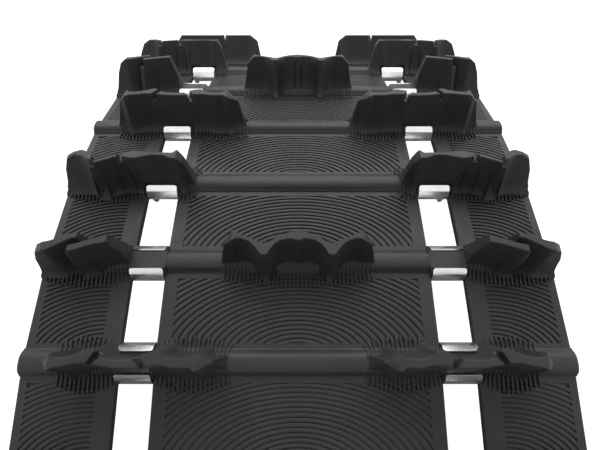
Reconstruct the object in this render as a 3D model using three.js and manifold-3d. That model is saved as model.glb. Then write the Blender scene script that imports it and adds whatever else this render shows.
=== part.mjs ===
// A nine-pitch length of moulded rubber snow track, lug side up.
//
// Each pitch is one stiff unit: a rubber belt segment with its cross bar, tread lugs and drive lugs,
// a fibreglass rod through the bar, a woven ply inside the belt and two steel window clips.
// The segments meet at thin flex lines, where the rubber bends. The length is stored with the
// curvature of a full loop of LOOP_PITCHES pitches, so equal lengths laid end to end close that loop.
//
// Local axes of a pitch: x across the belt, y along it, z out of the tread side.
// A height is given from the belt's tread surface, so the drive side has negative heights.

import * as THREE from 'three';
import { mergeVertices } from 'three/addons/utils/BufferGeometryUtils.js';
import Module from 'manifold-3d';

const wasm = await Module();
wasm.setup();

// ---- Driving dimensions, in millimetres and degrees ----

const TRACK_WIDTH = 381;
const PITCH = 72.6;
const LOOP_PITCHES = 45;
const PITCH_COUNT = 9;
const BELT_THICKNESS = 6.5;
const LUG_HEIGHT = 36;
const BAR_HEIGHT = 5;
const GAP = 0.3;
const CUTTER_OVERRUN = 5;

const FLEX_GAP = 0.25;
const CURL_BEVEL = 14.3;
const BACK_BEVEL = 7;

const WINDOW_INNER = 99;
const WINDOW_WIDTH = 25.4;
const WINDOW_OUTER = WINDOW_INNER + WINDOW_WIDTH;

const ROD_RADIUS = 3.4;
const ROD_LENGTH = 377;
const ROD_HEIGHT = 0.2;
const ROD_SIDES = 16;

const PLY_THICKNESS = 0.8;
const PLY_HEIGHT = -4.9;
const PLY_EDGE_MARGIN = 3.2;
const PLY_WINDOW_MARGIN = 2.7;
const PLY_END_MARGIN = 1;
const PLY_BRIDGE_HALF = 9;

// A clip is a steel strip bent round the rubber that bridges the windows at each bar.
// Its outer face, as (along, height) points: tab tip, shoulder, widest point and base corner.
const CLIP_OUTSIDE = [[7.9, 6.5], [11.6, 3], [14.4, -4.2], [9.8, -8.9]];
const CLIP_THICKNESS = 1.6;
const CLIP_WIDTH = WINDOW_WIDTH - 0.8;
const CLIP_ROOM_HEIGHT = 8.2;
const CORE_TOP_HALF = 6.5;
const GUIDE_EVERY = 3;
const GUIDE_DEPTH = 15;
const GUIDE_BASE_HALF = 9;
const GUIDE_TIP_HALF = 4.5;
const GUIDE_CHAMFER = 1.5;

const DRIVE_LUG_CENTRE = 74;
const DRIVE_LUG_WIDTH = 28;
const DRIVE_LUG_HEIGHT = 20;
// The half section of a drive lug, as (along, depth below the belt's drive surface) points.
const DRIVE_LUG_FLANK = [
  [15, -0.5], [13, 2.5], [8, DRIVE_LUG_HEIGHT - 2.5], [5.5, DRIVE_LUG_HEIGHT],
];

// The half section of a cross bar, as (along, height) points.
const BAR_FLANK = [[9.5, -0.5], [8.4, 0.6], [7.2, 2.6], [5.2, 4.2], [2.6, BAR_HEIGHT]];

const HALF_PITCH = PITCH / 2;
const HALF_WIDTH = TRACK_WIDTH / 2;
const BEND = (2 * Math.PI) / LOOP_PITCHES;
const BAR_CIRCLE = HALF_PITCH / Math.tan(BEND / 2);
const MID_HEIGHT = -BELT_THICKNESS / 2;

const rubber = new THREE.MeshStandardMaterial({ color: 0x2b2c2e, roughness: 0.6, metalness: 0 });
const steel = new THREE.MeshStandardMaterial({ color: 0xc8cacd, roughness: 0.25, metalness: 1 });
const fibreglass = new THREE.MeshStandardMaterial({ color: 0xbfb68a, roughness: 0.45, metalness: 0 });
const polyester = new THREE.MeshStandardMaterial({ color: 0xd2cbbb, roughness: 0.9, metalness: 0 });

// ---- Solids from outlines ----

function outlineShape(points) {
  return new THREE.Shape(points.map(([a, b]) => new THREE.Vector2(a, b)));
}

function extrude(points, depth) {
  return new THREE.ExtrudeGeometry(outlineShape(points), { depth, bevelEnabled: false });
}

// An outline of (along, height) points, drawn out across the belt from one x to another.
function acrossBelt(points, fromX, toX) {
  const geometry = extrude(points, toX - fromX);
  const turn = new THREE.Matrix4().makeBasis(
    new THREE.Vector3(0, 1, 0),
    new THREE.Vector3(0, 0, 1),
    new THREE.Vector3(1, 0, 0),
  );
  geometry.applyMatrix4(turn);
  geometry.translate(fromX, 0, 0);
  return solid(geometry);
}

// An outline of (across, height) points, drawn out along the belt, equally far both ways.
function alongBelt(points, halfLength) {
  const geometry = extrude(points, 2 * halfLength);
  geometry.rotateX(Math.PI / 2);
  geometry.translate(0, halfLength, 0);
  return solid(geometry);
}

// An outline of (across, along) points, between two heights.
function flatPlate(points, lowHeight, highHeight) {
  const geometry = extrude(points, highHeight - lowHeight);
  geometry.translate(0, 0, lowHeight);
  return solid(geometry);
}

function solid(geometry) {
  const bare = geometry.index ? geometry.clone() : geometry;
  bare.deleteAttribute('normal');
  bare.deleteAttribute('uv');
  const merged = mergeVertices(bare, 1e-4);
  return new wasm.Manifold(new wasm.Mesh({
    numProp: 3,
    vertProperties: new Float32Array(merged.attributes.position.array),
    triVerts: new Uint32Array(merged.index.array),
  }));
}

function joined(solids) {
  return solids.reduce((sum, next) => sum.add(next));
}

function meshOf(name, body, material) {
  const { vertProperties, triVerts } = body.getMesh();
  const geometry = new THREE.BufferGeometry();
  geometry.setAttribute('position', new THREE.BufferAttribute(new Float32Array(vertProperties), 3));
  geometry.setIndex(new THREE.BufferAttribute(new Uint32Array(triVerts), 1));
  geometry.computeVertexNormals();
  const mesh = new THREE.Mesh(geometry, material);
  mesh.name = name;
  return mesh;
}

// ---- Belt carcass ----

// Half of the carcass section, from the flex line at the middle of its thickness.
// Bevels on both sides leave room for the bend. A cut end is square.
function carcassEnd(direction, isCut) {
  const room = (bevel) => FLEX_GAP + (BELT_THICKNESS / 2) * Math.tan(THREE.MathUtils.degToRad(bevel));
  const outside = isCut ? 0 : room(BACK_BEVEL);
  const middle = isCut ? 0 : FLEX_GAP;
  const inside = isCut ? 0 : room(CURL_BEVEL);
  return [
    [direction * (HALF_PITCH - outside), 0],
    [direction * (HALF_PITCH - middle), MID_HEIGHT],
    [direction * (HALF_PITCH - inside), -BELT_THICKNESS],
  ];
}

function carcass(nearIsCut, farIsCut) {
  const section = [...carcassEnd(-1, nearIsCut), ...carcassEnd(1, farIsCut).reverse()];
  return acrossBelt(section, -HALF_WIDTH, HALF_WIDTH);
}

// A half section and its mirror image on the other side of the bar's middle line.
function withMirror(half) {
  return [...half, ...half.map(([along, height]) => [-along, height]).reverse()];
}

function crossBar() {
  return acrossBelt(withMirror(BAR_FLANK), -HALF_WIDTH, HALF_WIDTH);
}

function driveLug(side) {
  const flank = DRIVE_LUG_FLANK.map(([along, depth]) => [along, -BELT_THICKNESS - depth]);
  const centre = side * DRIVE_LUG_CENTRE;
  const half = DRIVE_LUG_WIDTH / 2;
  return acrossBelt(withMirror(flank), centre - half, centre + half);
}

// The half section of a clip's outer face moved inwards by some distance, with mitred corners.
// It starts at the tab tip and ends at the base, on the middle line of the bar.
function clipOffset(distance) {
  const base = CLIP_OUTSIDE[CLIP_OUTSIDE.length - 1];
  const path = [...CLIP_OUTSIDE, [0, base[1]]].map(([a, h]) => new THREE.Vector2(a, h));
  const inwards = path.slice(1).map((point, i) => {
    const run = point.clone().sub(path[i]).normalize();
    return new THREE.Vector2(run.y, -run.x);
  });
  return path.map((point, i) => {
    const before = inwards[Math.max(i - 1, 0)];
    const after = inwards[Math.min(i, inwards.length - 1)];
    const mitre = before.clone().add(after);
    mitre.multiplyScalar(distance / mitre.dot(after));
    return [point.x + mitre.x, point.y + mitre.y];
  });
}

// The space beside the rubber that carries the clip, which runs on into the windows.
function windowRoom(side, direction) {
  const core = clipOffset(CLIP_THICKNESS + GAP).slice(1, -1);
  const beyond = HALF_PITCH + CUTTER_OVERRUN;
  const below = -BELT_THICKNESS - CUTTER_OVERRUN;
  const outline = [
    [CORE_TOP_HALF, BAR_HEIGHT],
    ...core,
    [core[core.length - 1][0], below],
    [beyond, below],
    [beyond, CLIP_ROOM_HEIGHT],
    [CORE_TOP_HALF, CLIP_ROOM_HEIGHT],
  ].map(([along, height]) => [direction * along, height]);
  const fromX = side > 0 ? WINDOW_INNER : -WINDOW_OUTER;
  return acrossBelt(outline, fromX, fromX + WINDOW_WIDTH);
}

// The ply runs round the windows and under the rod. grow widens it into the slot that it lies in.
function plyOutline(grow, endHalf) {
  const edge = HALF_WIDTH - PLY_EDGE_MARGIN - GAP + grow;
  const outer = WINDOW_OUTER + PLY_WINDOW_MARGIN + GAP - grow;
  const inner = WINDOW_INNER - PLY_WINDOW_MARGIN - GAP + grow;
  const bridge = PLY_BRIDGE_HALF + grow;
  const quarter = [
    [edge, endHalf],
    [outer, endHalf],
    [outer, bridge],
    [inner, bridge],
    [inner, endHalf],
  ];
  const flip = (sx, sy) => quarter.map(([x, y]) => [sx * x, sy * y]);
  return [...flip(1, 1), ...flip(-1, 1).reverse(), ...flip(-1, -1), ...flip(1, -1).reverse()];
}

// ---- Tread lugs ----

// A lug is a ribbon of rubber that stands on the bar. Its way points are
// [distance from the centreline, near edge, far edge] at the top, the edges measured along the belt.
// SKIRT says how much thicker each side is at each height, from the foot to the top.
const LEAST_HALF_THICKNESS = 0.4;
const SKIRT = [
  { height: -1, spread: 7.5 },
  { height: 8, spread: 3.4 },
  { height: LUG_HEIGHT, spread: 0 },
];

function ribbon(wayPoints, side, segments) {
  const route = wayPoints.map(([out, near, far]) => new THREE.Vector3(side * out, near, far));
  if (side < 0) {
    route.reverse();
  }
  const stations = new THREE.CatmullRomCurve3(route).getPoints(segments);
  const levels = SKIRT.length - 1;
  const geometry = new THREE.BoxGeometry(segments, 2, levels, segments, 1, levels);
  const position = geometry.attributes.position;
  for (let i = 0; i < position.count; i += 1) {
    const { x, y: near, z: far } = stations[Math.round(position.getX(i) + segments / 2)];
    const level = SKIRT[Math.round(position.getZ(i) + levels / 2)];
    const half = Math.max((far - near) / 2, LEAST_HALF_THICKNESS) + level.spread;
    position.setXYZ(i, x, (near + far) / 2 + position.getY(i) * half, level.height);
  }
  return solid(geometry);
}

// The side view of a lug, with its notches and chamfered corners, trims the ribbon.
function trimmedRibbon({ wayPoints, sideView, segments }, side) {
  const outline = sideView.map(([out, height]) => [side * out, height]);
  return ribbon(wayPoints, side, segments).intersect(alongBelt(outline, HALF_PITCH));
}

const TOP = LUG_HEIGHT;
const NOTCH = TOP - 6;
const CORNER = TOP - 7;
const WEB_TOP = TOP - 8;

const BRIDGE_LUG = {
  segments: 24,
  wayPoints: [
    [45, 0.2, 1], [54, -0.2, 0.6], [63.5, -5.6, 5.4], [66.4, -3.4, 2.6], [75, -3.4, 1.9],
    [87, -1.7, 6.9], [95, -2.2, 4.4], [99.5, -3.4, 1.5], [106, -3.6, 0.9], [114.5, -3.2, 1.2],
    [121, -2, 2.6], [130, -0.5, 8.1], [140, -1.4, 3.7], [146, -2.6, 2.5], [150, -3.2, 2.8],
    [153, -5, 5.6], [159.5, -0.6, 0.4], [170, -0.4, 0.6],
  ],
  sideView: [
    [47, -1], [50, 9], [54, CORNER], [63.5, TOP], [95, TOP], [95.8, NOTCH], [98.4, NOTCH], [99.2, TOP],
    [123.4, TOP], [124.2, NOTCH], [126.8, NOTCH], [127.6, TOP], [153, TOP], [159.5, CORNER],
    [165, 9], [168, -1],
  ],
};

const CENTRE_LUG_HALF = [
  [2.5, 1.6, 8.8], [10, 1.4, 6.4], [17, -2.4, 2.6], [22.8, -9, -0.8],
  [29, -3, 1.8], [35.9, 1.8, 4.6], [41, 2.9, 7], [45.5, 1.5, 9.2], [51.5, 1.5, 2.6], [60, 1, 2.6],
];

const CENTRE_LUG = {
  segments: 28,
  wayPoints: [
    ...CENTRE_LUG_HALF.map(([out, near, far]) => [-out, near, far]).reverse(),
    ...CENTRE_LUG_HALF,
  ],
  sideView: [
    [-58, -1], [-55.5, 9], [-51.5, TOP - 6], [-45.5, TOP],
    [45.5, TOP], [51.5, TOP - 6], [55.5, 9], [58, -1],
  ],
};

const EDGE_LUG_OUTER = {
  segments: 6,
  wayPoints: [[148, 3.8, 7.6], [153, 3.5, 7.3], [163, -1.2, 3.9], [174, -6.3, 0.6], [190.3, -6, 0]],
  sideView: [
    [147, -1], [151.5, TOP], [174, TOP], [179.5, TOP - 4], [183.5, 23], [188, 5], [190, -1],
  ],
};

// Lower rubber that ties the two blades of an edge lug together.
const EDGE_LUG_WEB = {
  segments: 6,
  wayPoints: [[144, -3, 1.5], [150, -4.5, 4], [154, -6, 6.5], [158, -5, 5.5], [165, -2.5, 4]],
  sideView: [[145, -1], [147, WEB_TOP], [161, WEB_TOP], [164, -1]],
};

const EDGE_LUG_INNER = {
  segments: 7,
  wayPoints: [
    [118, 0.5, 5.5], [129.5, 0.2, 6.2], [138, -1.2, 3.6], [155, -6.5, -1.5], [160, -7.2, -2.4],
  ],
  sideView: [[124.2, -1], [124.6, 9], [125.2, 18], [130.8, TOP], [156, TOP], [159, -1]],
};

const CORNER_LUG_OUTER = {
  segments: 6,
  wayPoints: [[154, -7.4, -4], [160, -6.5, -0.8], [168, -2.5, 3.7], [173, -2, 2], [190.3, -2, 3]],
  sideView: [
    [152, -1], [158.5, TOP], [173, TOP], [179.5, TOP - 4], [183.5, 23], [188, 5], [190, -1],
  ],
};

const CORNER_LUG_MIDDLE = {
  segments: 5,
  wayPoints: [[134, -2, 1.4], [139, -3.7, -0.2], [148, -7, -3.6], [156, -10.3, -7.6], [162, -11, -8.4]],
  sideView: [[134, -1], [139.5, TOP], [155.5, TOP], [162, -1]],
};

const CORNER_LUG_INNER = {
  segments: 13,
  wayPoints: [
    [70, -1, 1], [87, -1.4, 1.4], [94, -5.5, 3.5], [97.5, -5.3, 0.7], [106, -2.2, 1],
    [112, -2, 1.1], [120, -3.8, 1.4], [127, -5.3, 3], [136, -3.5, -0.3], [142, -3, 0],
  ],
  sideView: [[83, -1], [86, 9], [90, CORNER], [94, TOP], [135.5, TOP], [140, -1]],
};

// Lower rubber that ties the three blades of a corner lug together.
const CORNER_LUG_WEBS = [
  {
    segments: 3,
    wayPoints: [[131, -4, 1.5], [136, -4, 1.5], [140, -4.5, 1], [144, -5, -1]],
    sideView: [[132, -1], [133, WEB_TOP], [142, WEB_TOP], [143, -1]],
  },
  {
    segments: 3,
    wayPoints: [[150, -8.5, -5], [155, -9, -4.5], [159, -9.5, -3.5], [164, -9, -3]],
    sideView: [[151, -1], [152, WEB_TOP], [161, WEB_TOP], [163, -1]],
  },
];

// The lugs of the three rows that repeat along the belt.
function bridgeRow() {
  return [-1, 1].map((side) => trimmedRibbon(BRIDGE_LUG, side));
}

function centreRow() {
  const edges = [-1, 1].flatMap((side) => [
    trimmedRibbon(EDGE_LUG_OUTER, side),
    trimmedRibbon(EDGE_LUG_WEB, side),
    trimmedRibbon(EDGE_LUG_INNER, side),
  ]);
  return [trimmedRibbon(CENTRE_LUG, 1), ...edges];
}

function cornerRow() {
  return [-1, 1].flatMap((side) => [
    trimmedRibbon(CORNER_LUG_OUTER, side),
    trimmedRibbon(CORNER_LUG_MIDDLE, side),
    trimmedRibbon(CORNER_LUG_INNER, side),
    ...CORNER_LUG_WEBS.map((web) => trimmedRibbon(web, side)),
  ]);
}

const ROWS = [centreRow, cornerRow, bridgeRow];

// ---- The pieces of one pitch ----

function rodCylinder(radius, length) {
  const geometry = new THREE.CylinderGeometry(radius, radius, length, ROD_SIDES);
  geometry.rotateZ(Math.PI / 2);
  geometry.translate(0, 0, ROD_HEIGHT);
  return solid(geometry);
}

function beltSegment(number) {
  const row = ROWS[(number - 1) % ROWS.length];
  const body = joined([
    carcass(number === 1, number === PITCH_COUNT),
    crossBar(),
    driveLug(-1),
    driveLug(1),
    ...row(),
  ]);
  const plySlot = flatPlate(
    plyOutline(GAP, HALF_PITCH + CUTTER_OVERRUN),
    PLY_HEIGHT - PLY_THICKNESS / 2 - GAP,
    PLY_HEIGHT + PLY_THICKNESS / 2 + GAP,
  );
  const openings = [-1, 1].flatMap((side) => [windowRoom(side, -1), windowRoom(side, 1)]);
  const bore = rodCylinder(ROD_RADIUS + GAP, TRACK_WIDTH + 2 * CUTTER_OVERRUN);
  return body.subtract(joined([...openings, bore, plySlot]));
}

function reinforcingPly() {
  return flatPlate(
    plyOutline(0, HALF_PITCH - PLY_END_MARGIN),
    PLY_HEIGHT - PLY_THICKNESS / 2,
    PLY_HEIGHT + PLY_THICKNESS / 2,
  );
}

// Bent strip round the core: a base on the drive side, two folded walls and a tab on each shoulder.
function clipSection() {
  const outside = clipOffset(0).slice(0, -1);
  const inside = clipOffset(CLIP_THICKNESS).slice(0, -1);
  return withMirror([...inside.reverse(), ...outside]);
}

function guideWing(fromX) {
  const foot = CLIP_OUTSIDE[CLIP_OUTSIDE.length - 1][1] + CLIP_THICKNESS / 2;
  const tip = foot - GUIDE_DEPTH;
  const outline = [
    [-GUIDE_BASE_HALF, foot],
    [GUIDE_BASE_HALF, foot],
    [GUIDE_TIP_HALF + GUIDE_CHAMFER, tip + GUIDE_CHAMFER],
    [GUIDE_TIP_HALF, tip],
    [-GUIDE_TIP_HALF, tip],
    [-GUIDE_TIP_HALF - GUIDE_CHAMFER, tip + GUIDE_CHAMFER],
  ];
  return acrossBelt(outline, fromX, fromX + CLIP_THICKNESS);
}

function windowClip(side, hasGuides) {
  const middle = side * (WINDOW_INNER + WINDOW_OUTER) / 2;
  const fromX = middle - CLIP_WIDTH / 2;
  const toX = middle + CLIP_WIDTH / 2;
  const strip = acrossBelt(clipSection(), fromX, toX);
  if (!hasGuides) {
    return strip;
  }
  return joined([strip, guideWing(fromX), guideWing(toX - CLIP_THICKNESS)]);
}

// ---- Assembly ----

const track = new THREE.Group();

for (let number = 1; number <= PITCH_COUNT; number += 1) {
  const tilt = (number - (PITCH_COUNT + 1) / 2) * BEND;
  const hasGuides = number % GUIDE_EVERY === 2;
  const surface = new THREE.Group();
  surface.position.z = -MID_HEIGHT;
  surface.add(
    meshOf(`belt_pitch_${number}`, beltSegment(number), rubber),
    meshOf(`rod_${number}`, rodCylinder(ROD_RADIUS, ROD_LENGTH), fibreglass),
    meshOf(`ply_${number}`, reinforcingPly(), polyester),
    meshOf(`clip_left_${number}`, windowClip(-1, hasGuides), steel),
    meshOf(`clip_right_${number}`, windowClip(1, hasGuides), steel),
  );
  const pitch = new THREE.Group();
  pitch.position.set(0, BAR_CIRCLE * Math.sin(tilt), BAR_CIRCLE * Math.cos(tilt));
  pitch.rotation.x = -tilt;
  pitch.add(surface);
  track.add(pitch);
}

// The length stands on its two ends, with the origin under the middle of its box.
const box = new THREE.Box3().setFromObject(track, true);
const middle = box.getCenter(new THREE.Vector3());
track.position.set(-middle.x, -middle.y, -box.min.z);
track.updateMatrixWorld(true);

export default track;
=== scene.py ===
"""A nine-pitch length of moulded rubber snow track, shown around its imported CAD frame.

Shapes are worked out in millimetres in the axes of one pitch: x across the belt, s along it from the
middle of the bar, and h out of the tread surface. Each shape is then carried to its place on the curve.
"""

import math

import bmesh
import bpy
import numpy as np
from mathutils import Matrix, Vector


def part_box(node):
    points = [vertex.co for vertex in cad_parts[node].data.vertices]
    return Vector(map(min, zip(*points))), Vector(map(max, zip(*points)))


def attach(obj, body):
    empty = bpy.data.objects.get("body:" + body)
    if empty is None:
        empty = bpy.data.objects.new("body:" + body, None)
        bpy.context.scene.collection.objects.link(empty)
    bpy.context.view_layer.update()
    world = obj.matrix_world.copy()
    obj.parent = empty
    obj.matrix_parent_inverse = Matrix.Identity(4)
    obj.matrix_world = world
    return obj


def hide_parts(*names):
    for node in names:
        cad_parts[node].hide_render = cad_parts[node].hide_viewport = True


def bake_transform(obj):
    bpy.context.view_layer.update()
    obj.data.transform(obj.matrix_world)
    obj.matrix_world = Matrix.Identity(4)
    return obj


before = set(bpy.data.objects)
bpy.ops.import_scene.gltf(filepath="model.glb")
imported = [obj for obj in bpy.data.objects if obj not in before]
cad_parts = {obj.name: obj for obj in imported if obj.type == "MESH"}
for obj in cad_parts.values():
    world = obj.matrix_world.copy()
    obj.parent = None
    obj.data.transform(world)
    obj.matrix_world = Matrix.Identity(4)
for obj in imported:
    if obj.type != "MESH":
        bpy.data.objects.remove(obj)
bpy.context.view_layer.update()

# ---- Driving dimensions, in millimetres, as in the CAD ----

PITCH = 72.6
PITCH_COUNT = 9
LOOP_PITCHES = 45
BEND = 2 * math.pi / LOOP_PITCHES
HALF_WIDTH = 190.5
BELT = 6.5
TOP = 36.0
BAR_TOP = 5.0
WINDOW_INNER = 99.0
WINDOW_OUTER = 124.4
ROD_HEIGHT = 0.2
MM = 0.001

MIDDLE_PITCH = (PITCH_COUNT + 1) / 2
HALF_PITCH = PITCH / 2
# The radius under a bar at half the belt's thickness.
BAR_CIRCLE = HALF_PITCH / math.tan(BEND / 2)

# Half the outside of a clip, from the tip of a tab to its underside, as (along, height) points.
CLIP_OUTSIDE = [(7.9, 6.5), (11.6, 3.0), (14.4, -4.2), (9.8, -8.9)]
CLIP_STEEL = 1.6
CLIP_HALF_WIDTH = 12.3
CLIP_MIDDLE = (WINDOW_INNER + WINDOW_OUTER) / 2
GUIDE_DEPTH = 15.0
FIRST_GUIDES = 2
GUIDES_EVERY = 3

# The panel between two bars starts under one bar and ends under the other.
PANEL_START = 7.0
PANEL_END = PITCH - PANEL_START
# A point this distance from one bar and one as far from the other are worked out for each panel; nothing
# uses them.
FLEX_START = 20.0


# ---- Places ----

def tilt_of(number):
    return (number - MIDDLE_PITCH) * BEND


def axes_of(number):
    """The tread surface's origin at a bar, with the directions along the belt and out of it."""
    low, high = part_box(f"rod_{number}")
    tilt = tilt_of(number)
    along = np.array([0, math.cos(tilt), -math.sin(tilt)])
    outward = np.array([0, math.sin(tilt), math.cos(tilt)])
    origin = np.array((low + high) / 2) - ROD_HEIGHT * MM * outward
    return origin, along, outward


def on_pitch(number):
    """Carries millimetre points of a pitch to their place in metres."""
    origin, along, outward = axes_of(number)

    def place(points):
        points = np.asarray(points, float) * MM
        across = points[:, :1] * np.array([1.0, 0, 0])
        return origin + across + points[:, 1:2] * along + points[:, 2:3] * outward

    return place


def between(number):
    """Carries points of the panel beyond a bar to the flat stretch that runs on to the next bar."""
    origin, along, outward = axes_of(number)
    turn = BEND / 2
    forwards = along * math.cos(turn) - outward * math.sin(turn)
    upwards = along * math.sin(turn) + outward * math.cos(turn)
    stretch = 2 * (BAR_CIRCLE + BELT / 2) * math.sin(turn) / PITCH

    def place(points):
        points = np.asarray(points, float) * MM
        across = points[:, :1] * np.array([1.0, 0, 0])
        return origin + across + points[:, 1:2] * stretch * forwards + points[:, 2:3] * upwards

    return place


# ---- Shapes ----

class Moulding:
    """Points and faces of one piece, made of closed bodies."""

    def __init__(self):
        self.points = []
        self.faces = []

    def sweep(self, loops):
        """Joins closed loops of equally many points one after another, with a cap at each end."""
        first = len(self.points)
        count = len(loops[0])
        for loop in loops:
            self.points.extend(loop)
        for i in range(len(loops) - 1):
            for j in range(count):
                a = first + i * count + j
                b = first + i * count + (j + 1) % count
                self.faces.append((a, b, b + count, a + count))
        last = first + (len(loops) - 1) * count
        self.faces.append(tuple(range(first + count - 1, first - 1, -1)))
        self.faces.append(tuple(range(last, last + count)))

    def shown(self, name, place, material, slot, sharp_above=32):
        """Makes the Blender object, with smooth shading between its sharp edges."""
        mesh = bpy.data.meshes.new(name)
        mesh.from_pydata(place(self.points).tolist(), [], self.faces)
        editor = bmesh.new()
        editor.from_mesh(mesh)
        bmesh.ops.recalc_face_normals(editor, faces=editor.faces)
        editor.to_mesh(mesh)
        editor.free()
        mesh.shade_smooth()
        mesh.set_sharp_from_angle(angle=math.radians(sharp_above))
        mesh.materials.append(material)
        piece = bpy.data.objects.new(name, mesh)
        bpy.context.scene.collection.objects.link(piece)
        return piece


def smooth_through(xs, ys, at):
    """A curve through the points (xs, ys) that never swings past them, read at some places."""
    xs = np.asarray(xs, float)
    ys = np.asarray(ys, float)
    run = np.diff(xs)
    slope = np.diff(ys) / run
    tangent = np.zeros(len(xs))
    turning = slope[:-1] * slope[1:] <= 0
    weight_a = 2 * run[1:] + run[:-1]
    weight_b = run[1:] + 2 * run[:-1]
    safe_a = np.where(turning, 1, slope[:-1])
    safe_b = np.where(turning, 1, slope[1:])
    mean = (weight_a + weight_b) / (weight_a / safe_a + weight_b / safe_b)
    tangent[1:-1] = np.where(turning, 0, mean)
    tangent[0] = slope[0]
    tangent[-1] = slope[-1]
    at = np.clip(at, xs[0], xs[-1])
    i = np.clip(np.searchsorted(xs, at) - 1, 0, len(run) - 1)
    t = (at - xs[i]) / run[i]
    start = (1 + 2 * t) * (1 - t) ** 2 * ys[i] + t * (1 - t) ** 2 * run[i] * tangent[i]
    end = t * t * (3 - 2 * t) * ys[i + 1] + t * t * (t - 1) * run[i] * tangent[i + 1]
    return start + end


def rounded(path, radius, steps=5):
    """An open path whose corners are turned into arcs."""
    points = [Vector(p) for p in path]
    result = [points[0]]
    for before, corner, after in zip(points, points[1:], points[2:]):
        way_in = (before - corner).normalized()
        way_out = (after - corner).normalized()
        half = way_in.angle(way_out) / 2
        reach = radius / math.tan(half)
        middle = corner + (way_in + way_out).normalized() * (radius / math.sin(half))
        start = corner + way_in * reach - middle
        end = corner + way_out * reach - middle
        for i in range(steps + 1):
            share = i / steps
            direction = (start * (1 - share) + end * share).normalized()
            result.append(middle + direction * radius)
    result.append(points[-1])
    return [tuple(p) for p in result]


def moved_inwards(path, distance):
    """An open path shifted sideways, to the right of its own direction."""
    points = np.array(path, float)
    tangent = np.gradient(points, axis=0)
    tangent /= np.linalg.norm(tangent, axis=1)[:, None]
    return points + distance * np.stack([tangent[:, 1], -tangent[:, 0]], axis=1)


# ---- The bar and the rubber under the clips ----

# The bar's upper outline from its near foot to its far foot, as (along, height) points.
BAR_OUTLINE = [
    (-8.9, 0.0), (-8.2, 0.5), (-7.3, 1.9), (-6.1, 3.3), (-4.4, 4.35), (-2.4, 4.85), (0.0, BAR_TOP),
    (2.4, 4.85), (4.4, 4.35), (6.2, 3.3), (7.6, 1.9), (8.8, 0.5), (9.8, 0.0),
]
BAR_LOWEST = -BELT - 0.1
BAR_POINTS = 30
BAR_LIFT = 0.03
# At each distance from a free end of the bar, the share of its full height.
BAR_END = [(0.0, 0.86), (0.25, 0.93), (0.8, 0.98), (1.8, 1.0)]
# Half the section of the rubber that a clip is bent round, as (along, height) points.
CORE_FLANK = [(6.5, BAR_TOP), (10.0, 1.9), (12.2, -4.0), (9.1, -7.0)]


def bar_height(s):
    along, height = zip(*BAR_OUTLINE)
    return smooth_through(along, height, np.asarray(s, float))


def bar_loop(x, scale):
    """One section of the bar. A scale under 1 rounds its top off towards an end."""
    s_values = np.linspace(BAR_OUTLINE[0][0], BAR_OUTLINE[-1][0], BAR_POINTS)
    heights = bar_height(s_values) * scale + BAR_LIFT
    narrower = 0.9 + 0.1 * scale
    top = [(x, s * narrower, h) for s, h in zip(s_values, heights)]
    near, far = top[0][1], top[-1][1]
    return top + [(x, far, BAR_LOWEST), (x, near, BAR_LOWEST)]


def bar(moulding, from_x, to_x):
    """A stretch of the bar between two free ends, each at a window or at the belt's edge."""
    stations = [(from_x + distance, scale) for distance, scale in BAR_END]
    stations += [(to_x - distance, scale) for distance, scale in reversed(BAR_END)]
    moulding.sweep([bar_loop(x, scale) for x, scale in stations])


def clip_core(moulding, side):
    """The narrower rubber between two windows. Its ends are hidden inside the bar."""
    loop = CORE_FLANK + [(-s, h) for s, h in reversed(CORE_FLANK)]
    low, high = sorted((side * (WINDOW_INNER - 1), side * (WINDOW_OUTER + 1)))
    moulding.sweep([[(x, s, h) for s, h in loop] for x in (low, high)])


# ---- Drive lugs on the inner side ----

DRIVE_LUG_CENTRE = 74.0
DRIVE_LUG_HALF = 14.0
DRIVE_LUG_HEIGHT = 20.0
DRIVE_LUG_TIP = -BELT - DRIVE_LUG_HEIGHT
DRIVE_LUG_ROUNDING = 1.0
# Half its section, as (along, height) points from its root to the middle of its tip.
DRIVE_LUG_FLANK = [
    (17.0, -BELT + 0.3), (13.0, -BELT - 2.5), (8.0, DRIVE_LUG_TIP + 2.5), (5.5, DRIVE_LUG_TIP),
    (0.0, DRIVE_LUG_TIP),
]
# Its sections from side to side: (share of its half width, scale along the belt, rise of the tip).
DRIVE_LUG_SECTIONS = [
    (-1, 0.9, 1.2), (-0.94, 1.0, 0.3), (-0.8, 1.0, 0.0), (0.8, 1.0, 0.0), (0.94, 1.0, 0.3), (1, 0.9, 1.2),
]


def drive_lug(moulding, side):
    flank = rounded(DRIVE_LUG_FLANK, DRIVE_LUG_ROUNDING)
    section = flank[:-1] + [(-s, h) for s, h in reversed(flank[:-1])]
    middle = side * DRIVE_LUG_CENTRE
    loops = []
    for offset, scale, rise in DRIVE_LUG_SECTIONS:
        x = middle + offset * DRIVE_LUG_HALF
        share = [(h + BELT) / DRIVE_LUG_HEIGHT for _, h in section]
        loops.append([(x, s * scale, h - min(k, 0) * rise) for (s, h), k in zip(section, share)])
    moulding.sweep(loops)


# ---- Tread lugs ----

# A lug is a ribbon of rubber that stands on the bar. "edges" are (out, near, far) at its top, where
# out is the distance from the centreline. "side" is its side view, as (out, height) points.
# "skews" are (out, amount): there the far edge runs ahead of the near edge, and a notch is slanted.
# "lean" spreads the foot of the near face further.
# NOTCH is the floor of a notch, CORNER the low side of a cut corner, and a web is lower rubber that ties
# two blades of a lug together.
NOTCH = TOP - 6
CORNER = TOP - 7
EDGE_WEB = TOP - 8
CORNER_WEB = TOP - 5

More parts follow.
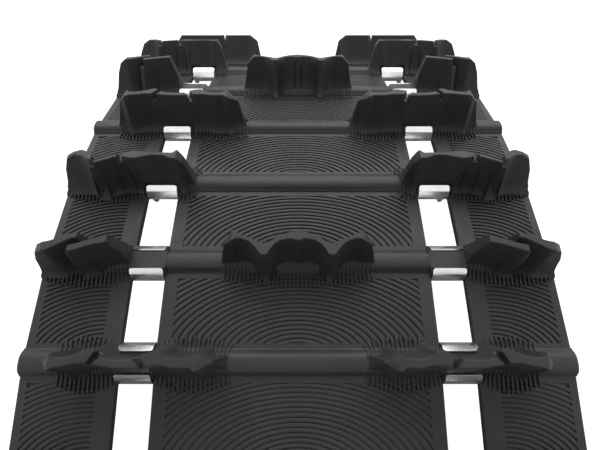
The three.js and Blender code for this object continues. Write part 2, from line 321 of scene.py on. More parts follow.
BRIDGE_LUG = {
    "edges": [
        (45, 0.2, 1.0), (54, -0.2, 0.6), (63.5, -5.6, 5.4), (66.4, -3.4, 2.6), (75, -3.4, 1.9),
        (82, -2.2, 3.6), (87, -1.7, 6.9), (95, -2.2, 4.4), (99.5, -3.4, 1.5), (106, -3.6, 0.9),
        (114.5, -3.2, 1.2), (121, -2.0, 2.6), (126, -1.0, 5.6), (130, -0.5, 8.1), (134.5, -0.5, 5.6),
        (140, -1.4, 3.7), (146, -2.6, 2.5), (150, -3.2, 2.8), (153, -5.0, 5.6),
        (159.5, -0.6, 0.4), (170, -0.4, 0.6),
    ],
    "side": [
        (47, 2), (50, 9), (54, CORNER), (63.5, TOP), (95, TOP), (95.8, NOTCH), (98.4, NOTCH),
        (99.2, TOP), (123.4, TOP), (124.2, NOTCH), (126.8, NOTCH), (127.6, TOP), (153, TOP),
        (159.5, CORNER), (165, 9), (168, 2),
    ],
    "skews": [(97.1, 2.0), (125.5, -2.5)],
}

CENTRE_LUG_EDGES = [
    (0, 1.5, 9.2), (2.4, 1.5, 8.6), (3.2, 2.7, 8.4), (6.7, 2.5, 7.5), (11.2, 1.6, 5.9), (15.8, -1.4, 3.3),
    (19, -5.4, 0.8), (21.2, -9.0, -0.5), (24.8, -9.0, -0.5), (28.2, -4.9, 1.6), (32, -0.7, 3.0),
    (35.9, 1.6, 4.6), (40.5, 2.9, 6.8), (43.6, 2.7, 8.2), (45.5, 1.5, 9.2), (48, 1.4, 6.6),
    (51.5, 1.5, 2.6), (60, 1.0, 2.6),
]

CENTRE_LUG = {
    "edges": [(-out, near, far) for out, near, far in reversed(CENTRE_LUG_EDGES[1:])] + CENTRE_LUG_EDGES,
    "side": [(-58, 2), (-55.5, 9), (-51.5, TOP - 6), (-45.5, TOP),
             (45.5, TOP), (51.5, TOP - 6), (55.5, 9), (58, 2)],
}

EDGE_LUG_OUTER = {
    "edges": [(148, 3.8, 7.6), (153, 3.5, 7.3), (163, -1.2, 3.9), (174, -6.3, 0.6), (190.3, -6, 0)],
    "side": [(147, 2), (151.5, TOP), (174, TOP), (179.5, TOP - 4), (183.5, 23), (188, 5), (190, 2)],
}

EDGE_LUG_WEB = {
    "edges": [(144, -3, 1.5), (150, -4.5, 4), (154, -6, 6.5), (158, -5, 5.5), (165, -2.5, 4)],
    "side": [(145, 2), (147, EDGE_WEB), (161, EDGE_WEB), (164, 2)],
}

EDGE_LUG_INNER = {
    "edges": [(118, 0.5, 5.5), (129.5, 0.2, 6.2), (138, -1.2, 3.6), (155, -6.5, -1.5), (160, -7.2, -2.4)],
    "side": [(124.2, 2), (124.6, 9), (125.2, 18), (130.8, TOP), (156, TOP), (159, 2)],
}

CORNER_LUG_OUTER = {
    "edges": [(152, -7.4, -4.0), (157, -7.0, -3.5), (160, -6.5, -0.8), (168, -2.5, 3.7), (173, -2, 2),
              (190.3, -2, 3)],
    "side": [(152, 2), (158.5, TOP), (173, TOP), (179.5, TOP - 4), (183.5, 23), (188, 5), (190, 2)],
    "lean": 4.0,
}

CORNER_LUG_MIDDLE = {
    "edges": [(134, -2.0, 1.4), (139, -3.7, -0.2), (148, -7, -3.6), (156, -10.3, -7.6), (162, -11, -8.4)],
    "side": [(134, 2), (139.5, TOP), (155.5, TOP), (162, 2)],
}

CORNER_LUG_INNER = {
    "edges": [
        (70, -1, 1), (87, -1.4, 1.4), (94, -5.5, 3.5), (97.5, -5.3, 0.7), (106, -2.2, 1.0),
        (112, -2, 1.1), (120, -3.8, 1.4), (127, -5.3, 3.0), (136, -3.5, -0.3), (142, -3, 0),
    ],
    "side": [(83, 2), (86, 9), (90, CORNER), (94, TOP), (135.5, TOP), (140, 2)],
}

CORNER_LUG_WEBS = [
    {
        "edges": [(131, -4, 1.5), (136, -4, 1.5), (140, -4.5, 1), (144, -5, -1)],
        "side": [(132, 2), (133, CORNER_WEB), (142, CORNER_WEB), (143, 2)],
    },
    {
        "edges": [(150, -8.5, -5), (155, -9, -4.5), (159, -9.5, -3.5), (164, -9, -3)],
        "side": [(151, 2), (152, CORNER_WEB), (161, CORNER_WEB), (163, 2)],
    },
]

LUG_FOOT = -1.0
LEVELS = [0, 0.03, 0.06, 0.1, 0.15, 0.21, 0.29, 0.4, 0.53, 0.67, 0.82, 1.0]
TOP_BEVEL = 0.6
STATION_SPACING = 1.3
THINNEST = 0.8
SKEW_REACH = 5
# Each side of a lug spreads by DRAFT from its top to its foot, and by FILLET more close to the belt.
DRAFT = 3.2
FILLET = 4.0
FILLET_HEIGHT = 4.5
# Over a window and a little beyond it, the foot of a lug keeps within a half thickness up to a height, to
# clear the clip.
WINDOW_CLEARANCE = 1.5
CLIP_ROOM_HALF = 6.2
CLIP_ROOM_HEIGHT = 8.2


def foot_spread(height):
    """How much thicker one side of a lug is at a height than at its top."""
    return DRAFT * (1 - height / TOP) + FILLET * math.exp(-height / FILLET_HEIGHT)


def near_window(x):
    return WINDOW_INNER - WINDOW_CLEARANCE < abs(x) < WINDOW_OUTER + WINDOW_CLEARANCE


def lug_section(x_near, x_far, near, far, height, lean):
    """The closed outline of a lug at one station, up its near face and down its far face."""
    full_top = height - TOP_BEVEL
    near_face = []
    far_face = []
    for level in LEVELS:
        h = LUG_FOOT + (full_top - LUG_FOOT) * level
        spread = foot_spread(max(h, 0))
        lower_share = 1 - min(max(h, 0) / TOP, 1)
        s_near = near - spread - lean * lower_share
        s_far = far + spread
        if near_window(x_near) and h < CLIP_ROOM_HEIGHT:
            s_near = max(s_near, -CLIP_ROOM_HALF)
            s_far = min(s_far, CLIP_ROOM_HALF)
        near_face.append((x_near, s_near, h))
        far_face.append((x_far, s_far, h))
    inset = min(TOP_BEVEL * 0.8, (far - near) * 0.3)
    ridge = [(x_near, near + inset, height), (x_far, far - inset, height)]
    return near_face + ridge + far_face[::-1]


def lug(moulding, shape, side):
    """A whole lug. side is 1, or -1 for its mirror image on the left."""
    outs, nears, fars = (np.array(v, float) for v in zip(*shape["edges"]))
    side_outs, side_heights = zip(*shape["side"])
    first, last = side_outs[0], side_outs[-1]
    count = int((last - first) / STATION_SPACING)
    stations = np.unique(np.concatenate([np.linspace(first, last, count), side_outs]))
    loops = []
    for out in stations:
        near = float(smooth_through(outs, nears, np.array([out]))[0])
        far = float(smooth_through(outs, fars, np.array([out]))[0])
        far = max(far, near + THINNEST)
        height = float(np.interp(out, side_outs, side_heights))
        skew = sum(amount * math.exp(-((out - at) / SKEW_REACH) ** 2)
                   for at, amount in shape.get("skews", []))
        x_near = side * (out - skew)
        x_far = side * (out + skew)
        loops.append(lug_section(x_near, x_far, near, far, height, shape.get("lean", 0)))
    moulding.sweep(loops)


# ---- Fine ribs along the feet of the lugs ----

RIB_PITCH = 3.1
RIB_HEIGHT = 1.2
RIB_HALF = 0.68
RIB_BEVEL = 0.35
RIB_SINK = 2.0
RIB_STEPS = 9
RIB_ROOT = 3.5
# The ribs are longest at the middle of a lug.
SHORT_REACH = 14.5
EXTRA_REACH = 5.5
FAR_SHORTER = 2.0
NEAR_SWING = 2.0
FAR_SWING = 4.5
# Beyond the bar's foot, the flat panels fall away from the bar's own plane.
BAR_FOOT = 9
PANEL_SLOPE = math.tan(BEND / 2)


def foot_rib(moulding, x, start, end, bow):
    """A thin rib that runs down the bar from under a lug and ends on the belt. bow bends it sideways."""
    loops = []
    for share in np.linspace(0, 1, RIB_STEPS):
        s = start + (end - start) * share
        base = float(bar_height(np.array([s]))[0]) - max(abs(s) - BAR_FOOT, 0) * PANEL_SLOPE
        middle = x + bow * share * share
        fade = min(1.0, (1 - share) * 5 + 0.15)
        top = base + RIB_HEIGHT * fade
        low = base - RIB_SINK
        side = [(1, low), (0.9, top - RIB_BEVEL), (0.45, top)]
        loops.append([(middle - RIB_HALF * k, s, h) for k, h in side]
                     + [(middle + RIB_HALF * k, s, h) for k, h in reversed(side)])
    moulding.sweep(loops)


def ribs_along(moulding, from_out, to_out, side):
    """Both combs of ribs beside one lug, between two distances from the centreline."""
    count = int((to_out - from_out) / RIB_PITCH)
    middle = (from_out + to_out) / 2
    for i in range(count + 1):
        out = from_out + (i + 0.5) * (to_out - from_out) / (count + 1)
        outwards = (out - middle) / (to_out - from_out)
        reach = SHORT_REACH + EXTRA_REACH * math.cos(outwards * math.pi)
        foot_rib(moulding, side * out, -RIB_ROOT, -reach, side * outwards * NEAR_SWING)
        foot_rib(moulding, side * out, RIB_ROOT, reach - FAR_SHORTER, side * outwards * FAR_SWING)


# ---- The three rows that repeat along the belt ----

BOTH = (-1, 1)


def bridge_row(moulding):
    for side in BOTH:
        lug(moulding, BRIDGE_LUG, side)
        ribs_along(moulding, 46.5, 97.5, side)
        ribs_along(moulding, 126, 165, side)


def centre_row(moulding):
    lug(moulding, CENTRE_LUG, 1)
    ribs_along(moulding, -56, 56, 1)
    for side in BOTH:
        lug(moulding, EDGE_LUG_OUTER, side)
        lug(moulding, EDGE_LUG_WEB, side)
        lug(moulding, EDGE_LUG_INNER, side)
        ribs_along(moulding, 126, 187, side)


def corner_row(moulding):
    for side in BOTH:
        lug(moulding, CORNER_LUG_OUTER, side)
        lug(moulding, CORNER_LUG_MIDDLE, side)
        lug(moulding, CORNER_LUG_INNER, side)
        for web in CORNER_LUG_WEBS:
            lug(moulding, web, side)
        ribs_along(moulding, 126, 187, side)
        ribs_along(moulding, 83, 98, side)


ROWS = [centre_row, corner_row, bridge_row]


def belt_row(number):
    """The bar of a pitch with everything that is moulded on it."""
    moulding = Moulding()
    bar(moulding, -HALF_WIDTH, -WINDOW_OUTER)
    bar(moulding, -WINDOW_INNER, WINDOW_INNER)
    bar(moulding, WINDOW_OUTER, HALF_WIDTH)
    for side in BOTH:
        clip_core(moulding, side)
        drive_lug(moulding, side)
    ROWS[(number - 1) % len(ROWS)](moulding)
    piece = moulding.shown(f"belt_row_{number}", on_pitch(number), rubber, "track_rubber")
    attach(piece, f"pitch_{number}")
    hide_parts(f"belt_pitch_{number}")


# ---- Belt panels between the bars ----

# Each band is smooth close to the bars, and has arcs of raised rubber between these two lines.
FIELD_START = 13.0
FIELD_END = 59.5
CENTRE_FIELD = 89.0
OUTER_FIELD = (137.4, 184.5)
# The arcs are half ellipses, this much wider than they are long.
CENTRE_STRETCH = 1.65
OUTER_STRETCH = 1.4
FIRST_ARC = FIELD_START + 0.6
ARC_PITCH = 3.1
GROOVE_WIDTH = 0.75
GROOVE_DEPTH = 1.2
SHORTEST_ARC = 1.5
ARC_STEP = 2.6
# The edge of an arc: how far in from its side, and how high.
ARC_EDGE = [(0.0, -GROOVE_DEPTH - 0.3), (0.12, -0.15), (0.4, 0.0)]
PANEL_STEP = 2.2
START_STEP = 0.01
FIELD_WALL = 0.35
FIELD_SIDE_WALL = 0.3
EDGE_CHAMFER = 0.7
UNDER_CHAMFER = 0.6
# The field of a cut panel is taken this far past the cut, so that it has no wall there.
PAST_CUT = 1


def panel_band(moulding, edge_a, edge_b, field_a, field_b, start, end, field_start, field_end):
    """One band of the belt, with a shallow recess that the raised arcs stand in."""
    edges = [start, start + START_STEP, field_start, field_start + FIELD_WALL, field_end - FIELD_WALL,
             field_end, end]
    stations = np.unique(np.concatenate([np.arange(start, end, PANEL_STEP), edges]))
    stations = stations[(stations >= start) & (stations <= end)]
    loops = []
    for s in stations:
        inside = min(s - field_start, field_end - s)
        depth = GROOVE_DEPTH * min(max(inside / FIELD_WALL, 0), 1)
        loops.append([
            (edge_a, s, -BELT + UNDER_CHAMFER), (edge_a, s, -EDGE_CHAMFER), (edge_a + EDGE_CHAMFER, s, 0),
            (field_a, s, 0), (field_a + FIELD_SIDE_WALL, s, -depth),
            (field_b - FIELD_SIDE_WALL, s, -depth), (field_b, s, 0),
            (edge_b - EDGE_CHAMFER, s, 0), (edge_b, s, -EDGE_CHAMFER), (edge_b, s, -BELT + UNDER_CHAMFER),
            (edge_b - UNDER_CHAMFER, s, -BELT), (edge_a + UNDER_CHAMFER, s, -BELT),
        ])
    moulding.sweep(loops)


def arc_strip(moulding, middle, stretch, inner, outer, span_of):
    """A raised arc between two radii, stretched sideways. span_of gives the angles between which a
    radius lies in the field."""
    radii = [inner + inset for inset, _ in ARC_EDGE] + [outer - inset for inset, _ in reversed(ARC_EDGE)]
    heights = [height for _, height in ARC_EDGE + ARC_EDGE[::-1]]
    spans = [span_of(radius) for radius in radii]
    if any(span is None for span in spans):
        return
    longest = stretch * max(abs(b - a) * outer for a, b in spans)
    if longest < SHORTEST_ARC:
        return
    steps = max(2, int(longest / ARC_STEP))
    loops = []
    for i in range(steps + 1):
        share = i / steps
        loop = []
        for radius, height, (a, b) in zip(radii, heights, spans):
            angle = a + (b - a) * share
            x = middle + stretch * radius * math.sin(angle)
            loop.append((x, radius * math.cos(angle), height))
        loops.append(loop)
    moulding.sweep(loops)


def field_span(radius, reach, start, end, part):
    """Angles from the belt's direction where an arc lies in the field, or None.
    reach is how far the field goes sideways, and part is -1 or 1 for the side."""
    if radius <= start:
        return None
    widest = math.acos(start / radius)
    if radius > reach:
        widest = min(widest, math.asin(reach / radius))
    narrowest = math.acos(end / radius) if radius > end else 0.0
    if widest <= narrowest:
        return None
    return (part * narrowest, part * widest)


def arc_radii(reach, end):
    """The inner and outer radius of every arc that may reach into a field."""
    radius = FIRST_ARC
    while radius < math.hypot(reach, end):
        yield radius, radius + ARC_PITCH - GROOVE_WIDTH
        radius += ARC_PITCH


def centre_arcs(moulding, start, end):
    """Arcs of the middle band. The ones that pass the end of the field are split in two."""
    reach = CENTRE_FIELD / CENTRE_STRETCH

    def half_span(r, part):
        return field_span(r, reach, start, end, part)

    def whole_span(r):
        span = half_span(r, 1)
        return None if span is None else (-span[1], span[1])

    for inner, outer in arc_radii(reach, end):
        if outer <= end:
            arc_strip(moulding, 0, CENTRE_STRETCH, inner, outer, whole_span)
        else:
            for part in BOTH:
                arc_strip(moulding, 0, CENTRE_STRETCH, inner, outer,
                          lambda r, part=part: half_span(r, part))


def outer_arcs(moulding, side, start, end):
    near_x, far_x = OUTER_FIELD
    reach = (far_x - near_x) / OUTER_STRETCH
    for inner, outer in arc_radii(reach, end):
        arc_strip(moulding, side * near_x, OUTER_STRETCH, inner, outer,
                  lambda r: field_span(r, reach, start, end, side))


def panel(start, end, field_start, field_end):
    """The three bands of belt between two bars, measured from the nearer bar."""
    moulding = Moulding()
    shape = (start, end, field_start, field_end)
    panel_band(moulding, -WINDOW_INNER, WINDOW_INNER, -CENTRE_FIELD, CENTRE_FIELD, *shape)
    panel_band(moulding, -HALF_WIDTH, -WINDOW_OUTER, -OUTER_FIELD[1], -OUTER_FIELD[0], *shape)
    panel_band(moulding, WINDOW_OUTER, HALF_WIDTH, *OUTER_FIELD, *shape)
    arcs_from, arcs_to = max(field_start, start), min(field_end, end)
    centre_arcs(moulding, arcs_from, arcs_to)
    for side in BOTH:
        outer_arcs(moulding, side, arcs_from, arcs_to)
    return moulding


def belt_panel(number):
    """The whole panel from a bar to the next, set on the flat stretch between them."""
    moulding = panel(PANEL_START, PANEL_END, FIELD_START, FIELD_END)
    piece = moulding.shown(f"belt_panel_{number}", between(number), rubber, "track_rubber")
    middle = -BELT / 2
    start = on_pitch(number)([(0, FLEX_START, middle)])[0]
    end = on_pitch(number + 1)([(0, -FLEX_START, middle)])[0]
    tuple(start)
    tuple(end)
    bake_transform(piece)


def belt_end_far():
    """The half panel beyond the last bar, up to the cut."""
    moulding = panel(PANEL_START, HALF_PITCH, FIELD_START, HALF_PITCH + PAST_CUT)
    piece = moulding.shown("belt_end_far", on_pitch(PITCH_COUNT), rubber, "track_rubber")
    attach(piece, f"pitch_{PITCH_COUNT}")


def belt_end_near():
    """The half panel before the first bar, from the cut."""
    moulding = panel(HALF_PITCH, PANEL_END, HALF_PITCH - PAST_CUT, FIELD_END)
    moulding.points = [(x, s - PITCH, h) for x, s, h in moulding.points]
    piece = moulding.shown("belt_end_near", on_pitch(1), rubber, "track_rubber")
    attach(piece, "pitch_1")


# ---- Cords that show where the belt is cut ----

CORD_HEIGHT = -4.9
CORD_PITCH = 1.9
CORD_RADIUS = 0.55
CORD_SIDES = 8
# The sections of a cord's end: how far past the cut, and the share of its full radius.
CORD_END = [(-0.6, 1.0), (0.0, 1.0), (0.08, 0.8)]
PLY_EDGE_MARGIN = 4
PLY_WINDOW_MARGIN = 3


def cut_cords(name, number, direction):
    """Ends of the ply's lengthwise cords, in a line across the cut face."""
    moulding = Moulding()
    edge = HALF_WIDTH - PLY_EDGE_MARGIN
    outer = WINDOW_OUTER + PLY_WINDOW_MARGIN
    inner = WINDOW_INNER - PLY_WINDOW_MARGIN
    bands = [(-edge, -outer), (-inner, inner), (outer, edge)]
    turns = [2 * math.pi * k / CORD_SIDES for k in range(CORD_SIDES)]
    for low, high in bands:
        count = int((high - low) / CORD_PITCH)
        for i in range(count + 1):
            x = low + i * (high - low) / count
            loops = []
            for reach, share in CORD_END:
                radius = CORD_RADIUS * share
                s = direction * (HALF_PITCH + reach)
                loops.append([(x + radius * math.cos(t), s, CORD_HEIGHT + radius * math.sin(t))
                              for t in turns])
            moulding.sweep(loops)
    piece = moulding.shown(name, on_pitch(number), ply_weave, "ply_polyester")
    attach(piece, f"pitch_{number}")


# ---- Steel clips ----

CLIP_BEND = 3.0
CLIP_EDGE_BEVEL = 0.15
CLIP_SHARP_ABOVE = 40
# The sections from side to side: (share of the half width, how much the tabs are cut back).
CLIP_SECTIONS = [
    (-1.0, 1.5), (-0.985, 1.05), (-0.94, 0.35), (-0.85, 0.0),
    (0.85, 0.0), (0.94, 0.35), (0.985, 1.05), (1.0, 1.5),
]
WING_POINTS = 13
WING_HALF = 9.0
WING_TAPER = 3.0
# A power under 1 makes the rounded wing fuller.
WING_FULLNESS = 0.6
# The sections through a wing's thickness, whose edges are a little smaller.
WING_EDGE = 0.97
WING_BEVEL = 0.2
WING_SECTIONS = [
    (0.0, WING_EDGE), (WING_BEVEL, 1.0), (CLIP_STEEL - WING_BEVEL, 1.0), (CLIP_STEEL, WING_EDGE),
]


def clip_loop(x, tab_cut):
    """The section of a clip. tab_cut shortens both tabs, to round their corners."""
    tip = Vector(CLIP_OUTSIDE[0])
    shoulder = Vector(CLIP_OUTSIDE[1])
    tip = tip + (shoulder - tip).normalized() * tab_cut
    half = rounded([tuple(tip), *CLIP_OUTSIDE[1:], (0.0, CLIP_OUTSIDE[-1][1])], CLIP_BEND)
    outside = half[:-1] + [(-s, h) for s, h in reversed(half[:-1])]
    inside = moved_inwards(outside, CLIP_STEEL).tolist()
    bevelled = []
    kept = 1 - CLIP_EDGE_BEVEL
    for line, opposite in ((outside, inside), (inside, outside)):
        first = np.array(line[0]) * kept + np.array(opposite[0]) * CLIP_EDGE_BEVEL
        final = np.array(line[-1]) * kept + np.array(opposite[-1]) * CLIP_EDGE_BEVEL
        bevelled.append([tuple(first)] + [tuple(p) for p in line[1:-1]] + [tuple(final)])
    return [(x, s, h) for s, h in bevelled[0] + bevelled[1][::-1]]


def guide_wing(moulding, x, direction):
    """A flat ear that keeps the track on its slide rail. It narrows towards a rounded tip."""
    foot = CLIP_OUTSIDE[-1][1] + CLIP_STEEL * 0.6
    outline = []
    for turn in np.linspace(0, math.pi, WING_POINTS):
        reach = math.sin(turn) ** WING_FULLNESS
        outline.append((math.cos(turn) * (WING_HALF - WING_TAPER * reach), foot - GUIDE_DEPTH * reach))
    loops = []
    for offset, shrink in WING_SECTIONS:
        loops.append([(x + direction * offset, s * shrink, foot + (h - foot) * shrink) for s, h in outline])
    moulding.sweep(loops)


def steel_clip(side_name, side, number):
    moulding = Moulding()
    middle = side * CLIP_MIDDLE
    moulding.sweep([clip_loop(middle + share * CLIP_HALF_WIDTH, cut) for share, cut in CLIP_SECTIONS])
    if (number - FIRST_GUIDES) % GUIDES_EVERY == 0:
        guide_wing(moulding, middle - CLIP_HALF_WIDTH, 1)
        guide_wing(moulding, middle + CLIP_HALF_WIDTH, -1)
    name = f"steel_clip_{side_name}_{number}"
    piece = moulding.shown(name, on_pitch(number), steel, "clip_steel", CLIP_SHARP_ABOVE)
    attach(piece, f"pitch_{number}")
    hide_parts(f"clip_{side_name}_{number}")


# ---- Materials ----

# Each surface varies between its darker and its paler colour.
RUBBER_COLOURS = (0.030, 0.031, 0.033), (0.040, 0.0405, 0.042)
STEEL_COLOURS = (0.70, 0.71, 0.73), (0.82, 0.83, 0.84)
FIBREGLASS_COLOURS = (0.42, 0.36, 0.19), (0.60, 0.55, 0.36)
PLY_COLOURS = (0.44, 0.40, 0.33), (0.62, 0.58, 0.50)
# Brush strokes and fibres run along x, so their noise is finer in the other two directions.
STROKE_SCALE = (30, 900, 900)
FIBRE_SCALE = (12, 900, 900)
WEAVE_SCALE = 330.0


class Nodes:
    """A short way to build a material's node tree."""

    def __init__(self, name):
        self.material = bpy.data.materials.new(name)
        self.material.use_nodes = True
        self.tree = self.material.node_tree
        self.shader = self.tree.nodes["Principled BSDF"]
        self.place = self.add("ShaderNodeTexCoord").outputs["Object"]

    def add(self, kind, inputs=None, **settings):
        node = self.tree.nodes.new(kind)
        for key, value in settings.items():
            setattr(node, key, value)
        for key, value in (inputs or {}).items():
            if isinstance(value, bpy.types.NodeSocket):
                self.tree.links.new(value, node.inputs[key])
            else:
                node.inputs[key].default_value = value
        return node

    def set(self, **values):
        for key, value in values.items():
            self.shader.inputs[key.replace("_", " ")].default_value = value

    def link(self, output, socket):
        self.tree.links.new(output, self.shader.inputs[socket])

    def noise(self, scale, detail=3.0, roughness=0.5, place=None):
        settings = {"Vector": place or self.place, "Scale": scale, "Detail": detail, "Roughness": roughness}
        return self.add("ShaderNodeTexNoise", settings).outputs["Fac"]

    def streaks(self, scale, detail):
        """Noise that is drawn out along x."""
        stretched = self.add("ShaderNodeMapping", {"Vector": self.place, "Scale": scale})
        return self.noise(1.0, detail, 0.6, stretched.outputs["Vector"])

    def between(self, value, low, high, to_low, to_high):
        sizes = {"Value": value, "From Min": low, "From Max": high, "To Min": to_low, "To Max": to_high}
        return self.add("ShaderNodeMapRange", sizes).outputs["Result"]

    def mix(self, share, colour_a, colour_b):
        node = self.add("ShaderNodeMix", data_type="RGBA")
        self.tree.links.new(share, node.inputs["Factor"])
        node.inputs["A"].default_value = (*colour_a, 1)
        node.inputs["B"].default_value = (*colour_b, 1)
        return node.outputs["Result"]

    def bump(self, height, strength, distance, below=None):
        inputs = {"Height": height, "Strength": strength, "Distance": distance}
        if below is not None:
            inputs["Normal"] = below
        return self.add("ShaderNodeBump", inputs).outputs["Normal"]


def moulded_rubber():
    nodes = Nodes("moulded_rubber")
    mottle = nodes.noise(38, 4, 0.6)
    bloom = nodes.noise(140, 5, 0.65)
    grain = nodes.noise(2600, 2, 0.5)
    flow = nodes.noise(420, 3, 0.6)
    colour = nodes.mix(nodes.between(mottle, 0.3, 0.7, 0, 1), *RUBBER_COLOURS)
    nodes.link(colour, "Base Color")
    shine = nodes.between(bloom, 0.3, 0.75, 0.40, 0.56)
    nodes.link(shine, "Roughness")
    nodes.set(IOR=1.5, Specular_IOR_Level=0.28)
    waves = nodes.bump(flow, 0.25, 0.00035)
    nodes.link(nodes.bump(grain, 0.5, 0.00009, waves), "Normal")
    return nodes.material


def brushed_steel():
    nodes = Nodes("brushed_steel")
    strokes = nodes.streaks(STROKE_SCALE, 3)
    clouds = nodes.noise(90, 4, 0.6)
    colour = nodes.mix(nodes.between(clouds, 0.3, 0.7, 0, 1), *STEEL_COLOURS)
    nodes.link(colour, "Base Color")
    nodes.link(nodes.between(strokes, 0.3, 0.7, 0.24, 0.34), "Roughness")
    nodes.set(Metallic=1.0)
    nodes.link(nodes.bump(strokes, 0.05, 0.00003), "Normal")
    return nodes.material


def pultruded_fibreglass():
    nodes = Nodes("pultruded_fibreglass")
    fibres = nodes.streaks(FIBRE_SCALE, 4)
    colour = nodes.mix(nodes.between(fibres, 0.3, 0.7, 0, 1), *FIBREGLASS_COLOURS)
    nodes.link(colour, "Base Color")
    nodes.link(nodes.between(fibres, 0.3, 0.7, 0.3, 0.5), "Roughness")
    nodes.link(nodes.bump(fibres, 0.3, 0.0001), "Normal")
    return nodes.material


def woven_ply():
    nodes = Nodes("woven_ply")
    scale = {"Vector": nodes.place, "Scale": WEAVE_SCALE, "Distortion": 0.4, "Detail": 1.0}
    across = nodes.add("ShaderNodeTexWave", scale, bands_direction="X").outputs["Fac"]
    along = nodes.add("ShaderNodeTexWave", scale, bands_direction="Y").outputs["Fac"]
    weave = nodes.add("ShaderNodeMath", {0: across, 1: along}, operation="MULTIPLY").outputs["Value"]
    colour = nodes.mix(weave, *PLY_COLOURS)
    nodes.link(colour, "Base Color")
    nodes.link(nodes.between(weave, 0, 1, 0.95, 0.8), "Roughness")
    nodes.link(nodes.bump(weave, 0.6, 0.0003), "Normal")
    return nodes.material


rubber = moulded_rubber()
steel = brushed_steel()
fibreglass = pultruded_fibreglass()
ply_weave = woven_ply()


# ---- The whole length ----

for number in range(1, PITCH_COUNT + 1):
    belt_row(number)
    steel_clip("left", -1, number)
    steel_clip("right", 1, number)
    for node_name, material in ((f"rod_{number}", fibreglass), (f"ply_{number}", ply_weave)):
        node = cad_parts[node_name]
        node.data.materials.clear()
        node.data.materials.append(material)
    if number < PITCH_COUNT:
        belt_panel(number)

belt_end_near()
belt_end_far()
cut_cords("cut_cords_near", 1, -1)
cut_cords("cut_cords_far", PITCH_COUNT, 1)


# ---- Floor and light, in metres and watts ----

FLOOR_REACH = 30.0
FLOOR_LEVEL = -0.001
FLOOR_COLOUR = (0.3, 0.3, 0.3, 1)
FLOOR_ROUGHNESS = 0.9
# The camera sees the floor as plain white. What it lends to the part rises between these distances from
# the middle, from the first strength to the second.
GLOW_DISTANCES = (0.35, 0.95)
GLOW_STRENGTHS = (0.05, 0.9)
WHITE = (1, 1, 1, 1)
ROOM_LIGHT = 0.22
ROOM_IN_SHINY_THINGS = 1.15
# For each lamp: its name, its place, what it points at, its size and its power.
LAMPS = [
    ("key", (0.0, 1.5, 1.9), (0, 0.05, 0.1), (3.2, 1.8), 60),
    ("fill_left", (-1.9, -0.1, 1.1), (0, 0, 0.1), (1.4, 1.4), 4),
    ("fill_right", (1.9, -0.1, 1.1), (0, 0, 0.1), (1.4, 1.4), 4),
]


def pale_floor():
    mesh = bpy.data.meshes.new("floor")
    signs = [(-1, -1), (1, -1), (1, 1), (-1, 1)]
    corners = [(a * FLOOR_REACH, b * FLOOR_REACH, FLOOR_LEVEL) for a, b in signs]
    mesh.from_pydata(corners, [], [(0, 1, 2, 3)])
    nodes = Nodes("pale_floor")
    nodes.set(Base_Color=FLOOR_COLOUR, Roughness=FLOOR_ROUGHNESS, Emission_Color=WHITE)
    distance = nodes.add("ShaderNodeVectorMath", {0: nodes.place}, operation="LENGTH").outputs["Value"]
    far_glow = nodes.between(distance, *GLOW_DISTANCES, *GLOW_STRENGTHS)
    path = nodes.add("ShaderNodeLightPath").outputs["Is Camera Ray"]
    glow = nodes.add("ShaderNodeMath", {0: far_glow, 1: path}, operation="MAXIMUM").outputs["Value"]
    nodes.link(glow, "Emission Strength")
    mesh.materials.append(nodes.material)
    floor = bpy.data.objects.new("floor", mesh)
    bpy.context.scene.collection.objects.link(floor)


def soft_light(name, place, target, size, power):
    light = bpy.data.lights.new(name, "AREA")
    light.shape = "RECTANGLE"
    light.size, light.size_y = size
    light.energy = power
    lamp = bpy.data.objects.new(name, light)
    lamp.location = place
    lamp.rotation_euler = (Vector(target) - Vector(place)).to_track_quat("-Z", "Y").to_euler()
    bpy.context.scene.collection.objects.link(lamp)


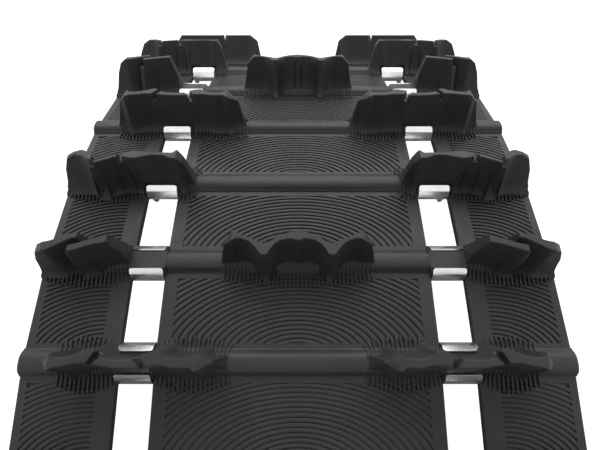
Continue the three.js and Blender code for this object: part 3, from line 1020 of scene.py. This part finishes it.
def studio():
    """A pale room that shows in shiny things, with a large lamp over the far end and a fill lamp on
    each side."""
    world = bpy.data.worlds.new("studio")
    world.use_nodes = True
    bpy.context.scene.world = world
    nodes = world.node_tree.nodes
    background = nodes["Background"]
    background.inputs["Color"].default_value = WHITE
    path = nodes.new("ShaderNodeLightPath")
    shiny = nodes.new("ShaderNodeMapRange")
    shiny.inputs["To Min"].default_value = ROOM_LIGHT
    shiny.inputs["To Max"].default_value = ROOM_IN_SHINY_THINGS
    strength = nodes.new("ShaderNodeMath")
    strength.operation = "MAXIMUM"
    world.node_tree.links.new(path.outputs["Is Glossy Ray"], shiny.inputs["Value"])
    world.node_tree.links.new(path.outputs["Is Camera Ray"], strength.inputs[0])
    world.node_tree.links.new(shiny.outputs["Result"], strength.inputs[1])
    world.node_tree.links.new(strength.outputs["Value"], background.inputs["Strength"])
    for lamp in LAMPS:
        soft_light(*lamp)


pale_floor()
studio()
bpy.context.scene.view_settings.view_transform = "Standard"


# ---- Camera ----

CAMERA_DISTANCE = 830.8
CAMERA_TURN = math.radians(16.16)
CAMERA_PITCH = math.radians(55.64)
CAMERA_LENS = 25.56
CAMERA_SHIFT = 0.0033
CAMERA_SENSOR = 36
CAMERA_NEAREST = 0.01


def add_camera():
    """The camera stands before the middle of the length, on a line through the curve's centre."""
    rod_low, rod_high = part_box(f"rod_{int(MIDDLE_PITCH)}")
    above_centre = (BAR_CIRCLE + BELT / 2 + ROD_HEIGHT) * MM
    centre = (rod_low + rod_high) / 2 - Vector((0, 0, above_centre))
    direction = Vector((0, -math.sin(CAMERA_TURN), math.cos(CAMERA_TURN)))
    data = bpy.data.cameras.new("camera")
    data.sensor_width = CAMERA_SENSOR
    data.lens = CAMERA_LENS
    data.shift_x = CAMERA_SHIFT
    data.clip_start = CAMERA_NEAREST
    camera = bpy.data.objects.new("camera", data)
    camera.location = centre + direction * CAMERA_DISTANCE * MM
    camera.rotation_euler = (math.pi / 2 - CAMERA_PITCH, 0, 0)
    bpy.context.scene.collection.objects.link(camera)
    bpy.context.scene.camera = camera


add_camera()
